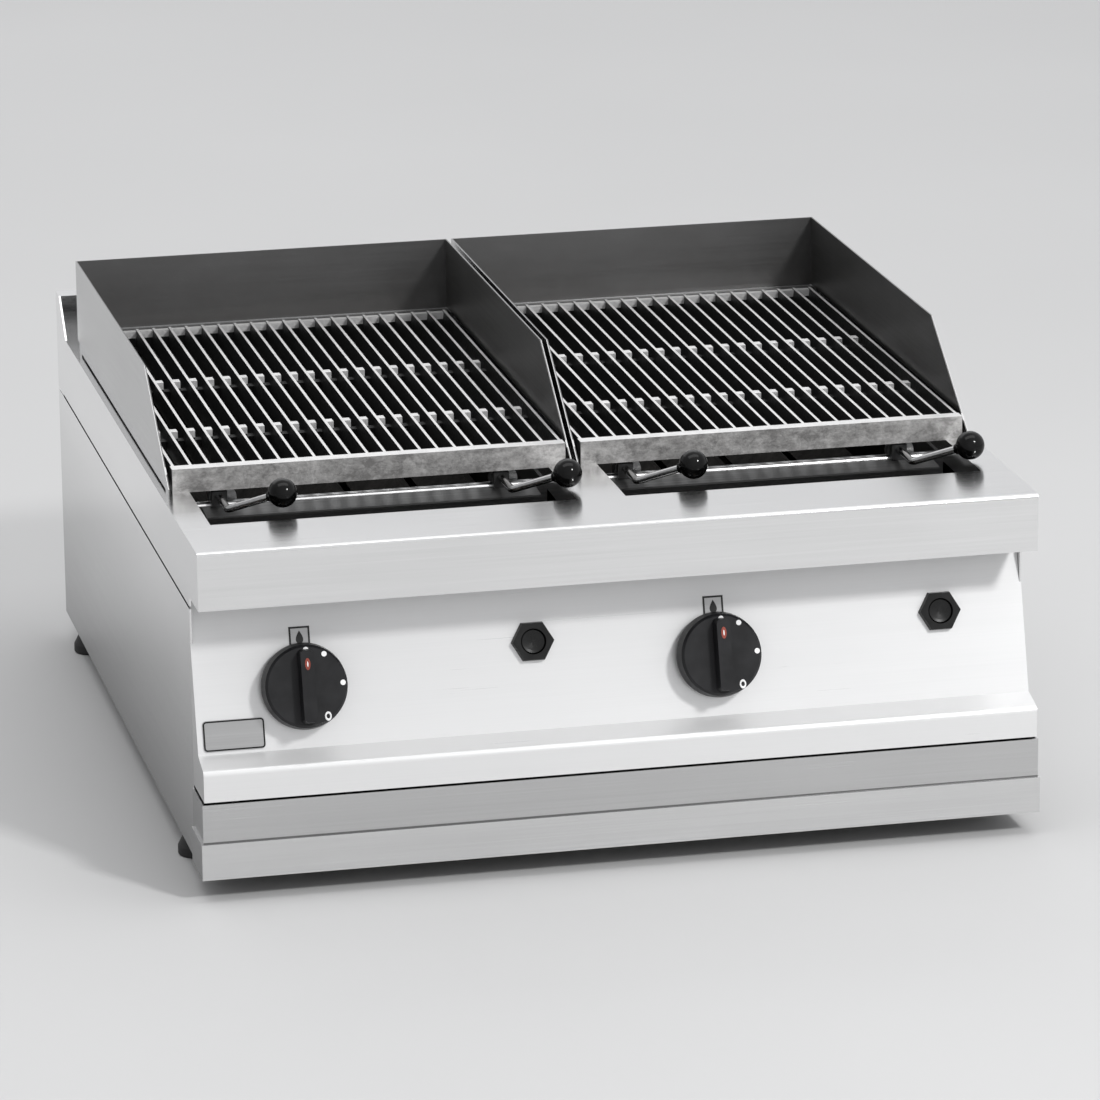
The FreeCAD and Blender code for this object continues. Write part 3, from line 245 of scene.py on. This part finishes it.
def dark_lower_steel(name, clean_above):
    """Sheet that is bright steel along its upper edge and near black below it."""
    graph = Graph(name, 0.85)
    cloud = graph.noise(18.0, 5.0, (1, 1, 0.6))
    grain = graph.noise(1.0, 4.0, (6, 700, 700))
    height = graph.math("ADD", graph.place()[2], graph.math("MULTIPLY", cloud, 0.006))
    clean = graph.remap(height, clean_above - 0.004, clean_above + 0.004)
    dark_lower_tone = graph.mix(graph.remap(cloud, 0.3, 0.7), grey(0.010), grey(0.035, 0.12))
    steel = graph.mix(graph.remap(grain, 0.3, 0.7), grey(0.16), grey(0.24))
    graph.link(graph.mix(clean, dark_lower_tone, steel), "Base Color")
    graph.link(graph.remap(clean, 0.0, 1.0, 0.75, 0.34), "Roughness")
    graph.bump(cloud, 0.2, 0.0004)
    return graph


def polished(name, tone, rough):
    """Bright turned or drawn metal with light scratches."""
    graph = Graph(name, 1.0)
    scratch = graph.noise(1.0, 4.0, (60, 500, 500))
    dull, clean = grey(tone * 0.86), grey(tone)
    graph.link(graph.mix(graph.remap(scratch, 0.35, 0.65), dull, clean), "Base Color")
    graph.link(graph.remap(scratch, 0.3, 0.7, rough, rough + 0.14), "Roughness")
    graph.bump(scratch, 0.08, 0.0001)
    return graph


def moulded(name, colour, rough, grain=0.12, specular=0.5):
    """Moulded plastic with a fine leathery grain and faint rub marks."""
    graph = Graph(name, 0.0, Specular_IOR_Level=specular)
    fine = graph.noise(900.0, 2.0)
    rub = graph.noise(60.0, 4.0)
    lifted = tuple(min(1.0, c * 1.5 + 0.004) for c in colour)
    graph.link(graph.mix(graph.remap(rub, 0.4, 0.75), colour, lifted), "Base Color")
    graph.link(graph.remap(rub, 0.3, 0.7, rough, rough + 0.12), "Roughness")
    graph.bump(fine, grain, 0.0002)
    return graph


def rough_metal(name, low, high, metallic, rough, scale, warm=0.0):
    """Unfinished metal: heat-tinted tube, zinc-plated pipe, rough casting."""
    graph = Graph(name, metallic)
    cloud = graph.noise(scale, 6.0)
    fine = graph.noise(500.0, 2.0)
    tint = graph.mix(graph.remap(cloud, 0.32, 0.68), grey(low, warm), grey(high, warm))
    graph.link(tint, "Base Color")
    graph.link(graph.remap(fine, 0.3, 0.7, rough, rough + 0.15), "Roughness")
    graph.bump(graph.math("ADD", cloud, fine), 0.3, 0.0003)
    return graph


def flecked_floor():
    graph = Graph("studio_floor", 0.0)
    cloud = graph.noise(1.2, 3.0)
    graph.link(graph.mix(graph.remap(cloud, 0.3, 0.7), grey(0.52), grey(0.54)), "Base Color")
    graph.link(graph.remap(cloud, 0.3, 0.7, 0.6, 0.7), "Roughness")
    return graph


# painted shade: the casing's side faces run from dark at the foot to brighter than the tone at the top
STEEL = brushed_steel("casing_steel", 0.76, 0.13, 0.21, flanks=(0.16, 1.12))
FASCIA = brushed_steel("fascia_steel", 0.74, 0.27, 0.31, metallic=0.35, grain_depth=0.004,
                       smudge=0.012)
# painted shade: the base panel and skirt are darker copies of the same steel, standing in for the shaded floor
# they reflect, and the base carries a painted shadow line at the skirt's top
BASE = brushed_steel("base_steel", 0.54, 0.20, 0.28, seam_at=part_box("base_skirt")[1].z)
SKIRT = brushed_steel("skirt_steel", 0.66, 0.20, 0.28)
GUARD = guard_steel("guard_steel", 0.42, 0.135, "left_splash_guard")
FIREBOX_STEEL = dark_lower_steel("firebox_steel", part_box("left_firebox")[1].z - 20 * MM)
GRATE = cast_iron("grate_iron", 0.24, 0.58, 0.80, "left_grate")
RADIANT = rough_metal("radiant_iron", 0.012, 0.045, 0.2, 0.7, 60.0, 0.08)
BURNER = rough_metal("burner_tube", 0.05, 0.13, 0.8, 0.45, 22.0, 0.12)
CHROME = polished("bright_bar", 0.50, 0.12)
RAIL = polished("drawn_rail", 0.62, 0.26)
# the brackets are a plain dark metal
DARKENED = rough_metal("dark_lug", 0.05, 0.10, 0.9, 0.35, 60.0)
PLATED = polished("plated_steel", 0.58, 0.26)
BRASS = rough_metal("gas_brass", 0.35, 0.5, 1.0, 0.28, 40.0, 0.35)
PIPE = rough_metal("zinc_pipe", 0.22, 0.34, 0.9, 0.38, 30.0)
BALL = moulded("ball_plastic", (0.002, 0.002, 0.002), 0.05, grain=0.01, specular=0.2)
KNOB = moulded("knob_plastic", (0.007, 0.007, 0.008), 0.36, specular=0.3)
BEZEL = moulded("igniter_plastic", (0.006, 0.006, 0.006), 0.30, specular=0.25)
BUTTON = moulded("button_plastic", (0.004, 0.004, 0.004), 0.22, grain=0.05, specular=0.3)
RUBBER = moulded("foot_rubber", (0.010, 0.010, 0.010), 0.55, grain=0.3)
CERAMIC = moulded("electrode_ceramic", (0.78, 0.76, 0.70), 0.25, grain=0.05)
BADGE = brushed_steel("badge_plate", 0.42, 0.28, 0.38)
WHITE = moulded("white_print", (0.80, 0.80, 0.80), 0.45, grain=0.05)
RED = moulded("red_print", (0.22, 0.035, 0.02), 0.35, grain=0.05)
BLACK = moulded("black_print_and_shade", (0.012, 0.012, 0.012), 0.45, grain=0.05)

SLOT_MATERIALS = {
    "casing": STEEL, "guards": GUARD, "grates": GRATE, "firebox": FIREBOX_STEEL, "burners": BURNER,
    "radiants": RADIANT, "cranks": CHROME, "rails": RAIL, "brackets": DARKENED, "balls": BALL,
    "cams": PLATED, "knobs": KNOB, "igniters": BEZEL, "buttons": BUTTON, "gas_pipe": PIPE,
    "gas_brass": BRASS, "fixings": PLATED, "electrodes": CERAMIC, "badge": BADGE, "feet": RUBBER,
}
NODE_MATERIALS = {"control_fascia": FASCIA, "base_front_panel": BASE, "base_skirt": SKIRT}


def dress_nodes():
    """Gives every CAD node the material of its record slot, or its own finish within that slot."""
    for entry in frame["record"]["subparts"]:
        node = NODES[entry["node"]]
        node.data.materials.clear()
        graph = NODE_MATERIALS.get(entry["node"], SLOT_MATERIALS[entry["material_slot"]])
        node.data.materials.append(graph.material)


# ---- detail pieces ---------------------------------------------------------------

def facing_frame(origin, out, across=Vector((1, 0, 0))):
    """A matrix whose Z leaves a face, with X across it and Y up it."""
    out = Vector(out).normalized()
    up = out.cross(across).normalized()
    return Matrix.Translation(origin) @ Matrix((across, up, out)).transposed().to_4x4()


def reach(node, direction):
    """The furthest a node goes along a direction."""
    direction = Vector(direction).normalized()
    return max(vertex.co.dot(direction) for vertex in NODES[node].data.vertices)


def piece(name, vertices, faces, place, graph, body, smooth=False):
    mesh = bpy.data.meshes.new(name)
    mesh.from_pydata([tuple(place @ Vector(v)) for v in vertices], [], faces)
    mesh.validate()
    mesh.update()
    item = bpy.data.objects.new(name, mesh)
    bpy.context.scene.collection.objects.link(item)
    mesh.materials.append(graph.material)
    if smooth:
        mesh.shade_smooth()
    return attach(item, body)


def rings(loops, closed_ends=True):
    """Faces that join equal loops of points in order, with both ends capped."""
    count = len(loops[0])
    vertices = [point for loop in loops for point in loop]
    faces = []
    for i in range(len(loops) - 1):
        for j in range(count):
            k = (j + 1) % count
            faces.append((i * count + j, i * count + k, (i + 1) * count + k, (i + 1) * count + j))
    if closed_ends:
        faces.append(tuple(reversed(range(count))))
        faces.append(tuple(range((len(loops) - 1) * count, len(loops) * count)))
    return vertices, faces


def slab(outline, low, high, chamfer):
    """An outline raised from low to high with its upper edge eased."""
    centre = Vector((sum(u for u, _ in outline), sum(v for _, v in outline))) / len(outline)
    spread = max((Vector(p) - centre).length for p in outline)
    inner = [tuple(centre + (Vector(p) - centre) * (1 - chamfer / spread)) for p in outline]
    return rings([[(u, v, low) for u, v in outline], [(u, v, high - chamfer) for u, v in outline],
                  [(u, v, high) for u, v in inner]])


def disc_outline(radius, centre=(0, 0), count=28, stretch=1.0):
    return [(centre[0] + radius * math.cos(math.tau * i / count),
             centre[1] + radius * stretch * math.sin(math.tau * i / count)) for i in range(count)]


def torus_loop(radius, thickness, height, centre=(0, 0), stretch=1.0, around=32, across=8):
    """A raised ring, drawn as a closed tube round an ellipse."""
    vertices, faces = [], []
    for i in range(around):
        angle = math.tau * i / around
        for j in range(across):
            turn = math.tau * j / across
            r = radius + thickness * math.cos(turn)
            vertices.append((centre[0] + r * math.cos(angle), centre[1] + r * stretch * math.sin(angle),
                             height + thickness * 0.5 * math.sin(turn)))
            k, m = (i + 1) % around, (j + 1) % across
            faces.append((i * across + j, k * across + j, k * across + m, i * across + m))
    return vertices, faces


def dial_spot(angle):
    """Where a mark stands on a knob's face, at an angle in degrees."""
    turn = math.radians(angle)
    return DIAL_RADIUS * math.cos(turn), DIAL_RADIUS * math.sin(turn)


def knob_marks(side):
    """Printed dots and a zero round a knob's face, and an inlaid index on its grip."""
    joint = JOINTS[side + "_knob_turn"]
    origin, out = Vector(joint["pos_m"]), Vector(joint["axis"]).normalized()
    top = reach(side + "_control_knob", out) - origin.dot(out)
    face = facing_frame(origin + out * (top - GRIP_HEIGHT), out)
    crest = facing_frame(origin + out * top, out)
    body = side + "_knob"
    for i, angle in enumerate(DIAL_DOTS):
        outline = disc_outline(2.2 * MM, dial_spot(angle))
        piece(f"{side}_dial_dot_{i}", *slab(outline, -PRINT, PRINT, 0.1 * MM), face, WHITE, body)
    piece(f"{side}_dial_zero", *torus_loop(2.1 * MM, 0.7 * MM, 0, dial_spot(DIAL_ZERO), 1.35),
          face, WHITE, body, True)
    red = disc_outline(2.2 * MM, (0, INDEX_REACH), stretch=2.2)
    piece(f"{side}_index_inlay", *slab(red, -PRINT, PRINT, 0.1 * MM), crest, RED, body)
    white = disc_outline(0.5 * MM, (0, INDEX_REACH), stretch=4.5)
    piece(f"{side}_index_line", *slab(white, 0, 1.8 * PRINT, 0.1 * MM), crest, WHITE, body)


def flame_outline(size):
    """A drop with a curled tip."""
    points = []
    for i in range(24):
        t = math.tau * i / 24
        width = math.sin(t) * math.sin(t / 2) ** 1.3
        points.append((size * 0.75 * width, size * math.cos(t) * 0.95))
    return points


def pictogram(side):
    """Square label over a knob: a dark frame round a plain flame."""
    joint = JOINTS[side + "_knob_turn"]
    out = Vector(joint["axis"]).normalized()
    up = out.cross(Vector((1, 0, 0)))
    surface = facing_frame(Vector(joint["pos_m"]) + up * PICTOGRAM_RISE, out)
    half = PICTOGRAM_HALF
    square = [(-half, -half), (half, -half), (half, half), (-half, half)]
    piece(f"{side}_label_plate", *slab(square, 0, 0.3 * MM, 0.1 * MM), surface, BADGE, "casing")
    inner = half - FRAME_WIDTH
    loops = []
    for size, height in ((half, 0.25), (half, 0.5), (inner, 0.5), (inner, 0.25), (half, 0.25)):
        rise = height * MM
        loops.append([(-size, -size, rise), (size, -size, rise), (size, size, rise), (-size, size, rise)])
    vertices, faces = rings(loops, closed_ends=False)
    piece(f"{side}_label_frame", vertices, faces, surface, BLACK, "casing")
    flame = slab(flame_outline(5.6 * MM), 0.2 * MM, 0.5 * MM, 0.05 * MM)
    piece(f"{side}_label_flame", *flame, surface, BLACK, "casing")


def badge_rim():
    """A raised dark rim round the blank badge."""
    low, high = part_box("name_plate")
    centre = (low + high) / 2
    out = Vector(JOINTS["left_knob_turn"]["axis"]).normalized()
    surface = facing_frame(centre + out * (reach("name_plate", out) - centre.dot(out)), out)
    half_wide, half_tall = (high.x - low.x) / 2, (high.z - low.z) / 2
    loops = []
    for inset, height in ((0.1, -0.1), (0.1, 0.3), (1.3, 0.3), (1.3, -0.1)):
        loops.append([(u, v, height * MM) for u, v in
                      round_rectangle(half_wide - inset * MM, half_tall - inset * MM, (3 - inset) * MM)])
    vertices, faces = rings([*loops, loops[0]], closed_ends=False)
    piece("badge_rim", vertices, faces, surface, BEZEL, "casing")


def round_rectangle(half_wide, half_tall, radius, steps=6):
    points = []
    for corner, (u, v) in enumerate(((1, 1), (-1, 1), (-1, -1), (1, -1))):
        for i in range(steps + 1):
            angle = math.pi / 2 * (corner + i / steps)
            points.append((u * (half_wide - radius) + radius * math.cos(angle),
                           v * (half_tall - radius) + radius * math.sin(angle)))
    return points


def spark_mark(side):
    """A raised zigzag on an igniter button."""
    joint = JOINTS[side + "_igniter_press"]
    out = -Vector(joint["axis"]).normalized()
    node = side + "_igniter_button"
    low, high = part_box(node)
    centre = (low + high) / 2
    origin = centre + out * (reach(node, out) - centre.dot(out) - 1.3 * MM)
    surface = facing_frame(origin, out)
    corners = [(1.2, 5.0), (-2.6, -0.6), (-0.2, -0.6), (-1.4, -5.0), (2.6, 0.9), (0.3, 0.9)]
    outline = [(u * MM, v * MM) for u, v in corners]
    zigzag = slab(outline, -0.6 * MM, 0.35 * MM, 0.1 * MM)
    piece(f"{side}_spark_mark", *zigzag, surface, BEZEL, side + "_igniter")


def dress_screws():
    """A black cross on each screw head of the back panel: painted shade standing in for a pressed cross recess."""
    heads = {}
    bottom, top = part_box("panel_screws")
    for vertex in NODES["panel_screws"].data.vertices:
        upper = vertex.co.z > (bottom.z + top.z) / 2
        heads.setdefault((round(vertex.co.x, 1), upper), []).append(vertex.co)
    rear = reach("panel_screws", (0, 1, 0))
    arm, half = 2.6 * MM, 0.5 * MM
    cross = [(half, half), (half, arm), (-half, arm), (-half, half), (-arm, half), (-arm, -half),
             (-half, -half), (-half, -arm), (half, -arm), (half, -half), (arm, -half), (arm, half)]
    for i, points in enumerate(heads.values()):
        low = Vector([min(p[k] for p in points) for k in range(3)])
        high = Vector([max(p[k] for p in points) for k in range(3)])
        centre = (low + high) / 2
        surface = facing_frame(Vector((centre.x, rear, centre.z)), (0, 1, 0), Vector((-1, 0, 0)))
        # painted shade: a thin black cross in place of the recess
        recess = slab(cross, -0.1 * MM, 0.06 * MM, 0.02 * MM)
        piece(f"screw_recess_shade_{i}", *recess, surface, BLACK, "casing")


def inlet_thread():
    """Pipe thread on the gas inlet's stub."""
    mount = [m for m in frame["record"]["mounts"] if m["name"] == "gas_inlet"][0]
    radius, length = mount["dims"]["r_mm"] * MM, mount["dims"]["length_mm"] * MM
    centre = Vector(mount["pos_m"])
    pitch = length / (THREAD_TURNS + 1)
    vertices, faces = [], []
    total = THREAD_TURNS * THREAD_STEPS
    for i in range(total + 1):
        angle = math.tau * i / THREAD_STEPS
        along = -length / 2 + pitch * (0.5 + i / THREAD_STEPS)
        for shift, r in ((-0.45, radius - 0.2 * MM), (0, radius + 0.35 * MM), (0.45, radius - 0.2 * MM)):
            vertices.append((r * math.cos(angle), r * math.sin(angle), along + shift * pitch))
    for i in range(total):
        for j in range(3):
            k = (j + 1) % 3
            faces.append((3 * i + j, 3 * i + k, 3 * i + 3 + k, 3 * i + 3 + j))
    faces.append((0, 1, 2))
    faces.append((3 * total + 2, 3 * total + 1, 3 * total))
    surface = facing_frame(centre, (0, 1, 0), Vector((-1, 0, 0)))
    piece("inlet_thread", vertices, faces, surface, PIPE, "casing", True)


# ---- stage, light and camera -----------------------------------------------------

def studio_floor():
    size = 9.0
    corners = [(-size, -size, 0), (size, -size, 0), (size, size, 0), (-size, size, 0)]
    mesh = bpy.data.meshes.new("studio_floor")
    mesh.from_pydata(corners, [], [(0, 1, 2, 3)])
    floor = bpy.data.objects.new("studio_floor", mesh)
    bpy.context.scene.collection.objects.link(floor)
    mesh.materials.append(flecked_floor().material)


def soft_box(name, place, aim, size, power):
    light = bpy.data.lights.new(name, "AREA")
    light.shape = "RECTANGLE"
    light.size, light.size_y = size
    light.energy = power
    item = bpy.data.objects.new(name, light)
    item.location = place
    item.rotation_mode = "QUATERNION"
    item.rotation_quaternion = (Vector(aim) - Vector(place)).to_track_quat("-Z", "Y")
    bpy.context.scene.collection.objects.link(item)


def light_stage():
    """An even pale surround, darker to the left, with three soft boxes."""
    bpy.context.scene.view_settings.view_transform = "Standard"
    world = bpy.data.worlds.new("studio")
    world.use_nodes = True
    tree = world.node_tree
    background = tree.nodes["Background"]
    direction = tree.nodes.new("ShaderNodeSeparateXYZ")
    tree.links.new(tree.nodes.new("ShaderNodeTexCoord").outputs["Generated"], direction.inputs[0])
    ramp = tree.nodes.new("ShaderNodeMapRange")
    for socket, value in (("From Min", -0.9), ("From Max", -0.1),
                          ("To Min", LEFT_SURROUND), ("To Max", SURROUND)):
        ramp.inputs[socket].default_value = value
    tree.links.new(direction.outputs["X"], ramp.inputs["Value"])
    tree.links.new(ramp.outputs[0], background.inputs["Strength"])
    background.inputs["Color"].default_value = (0.98, 0.985, 1.0, 1)
    bpy.context.scene.world = world
    middle = (0, 0, 0.2)
    soft_box("key", (2.1, -3.6, 3.4), middle, (0.6, 0.6), 140)
    soft_box("top", (0.0, -0.4, 3.4), middle, (4.0, 1.4), 35)
    soft_box("wash", (-0.5, 3.6, 3.0), (-0.5, 3.4, 0.0), (5.0, 3.0), 34)


def camera():
    data = bpy.data.cameras.new("camera")
    data.sensor_width = SENSOR
    data.lens = FOCAL
    data.clip_start, data.clip_end = 0.1, 60
    item = bpy.data.objects.new("camera", data)
    bpy.context.scene.collection.objects.link(item)
    elevation, azimuth, roll = (math.radians(angle) for angle in CAMERA_ANGLES)
    back = Vector((math.sin(azimuth) * math.cos(elevation), -math.cos(azimuth) * math.cos(elevation),
                   math.sin(elevation)))
    right = Vector((math.cos(azimuth), math.sin(azimuth), 0))
    up = back.cross(right)
    turned_right = right * math.cos(roll) + up * math.sin(roll)
    turned_up = up * math.cos(roll) - right * math.sin(roll)
    item.matrix_world = (Matrix.Translation(CAMERA_AT)
                         @ Matrix((turned_right, turned_up, back)).transposed().to_4x4())
    bpy.context.scene.camera = item


dress_nodes()
for side in SIDES:
    knob_marks(side)
    pictogram(side)
    spark_mark(side)
badge_rim()
dress_screws()
inlet_thread()
studio_floor()
light_stage()
camera()
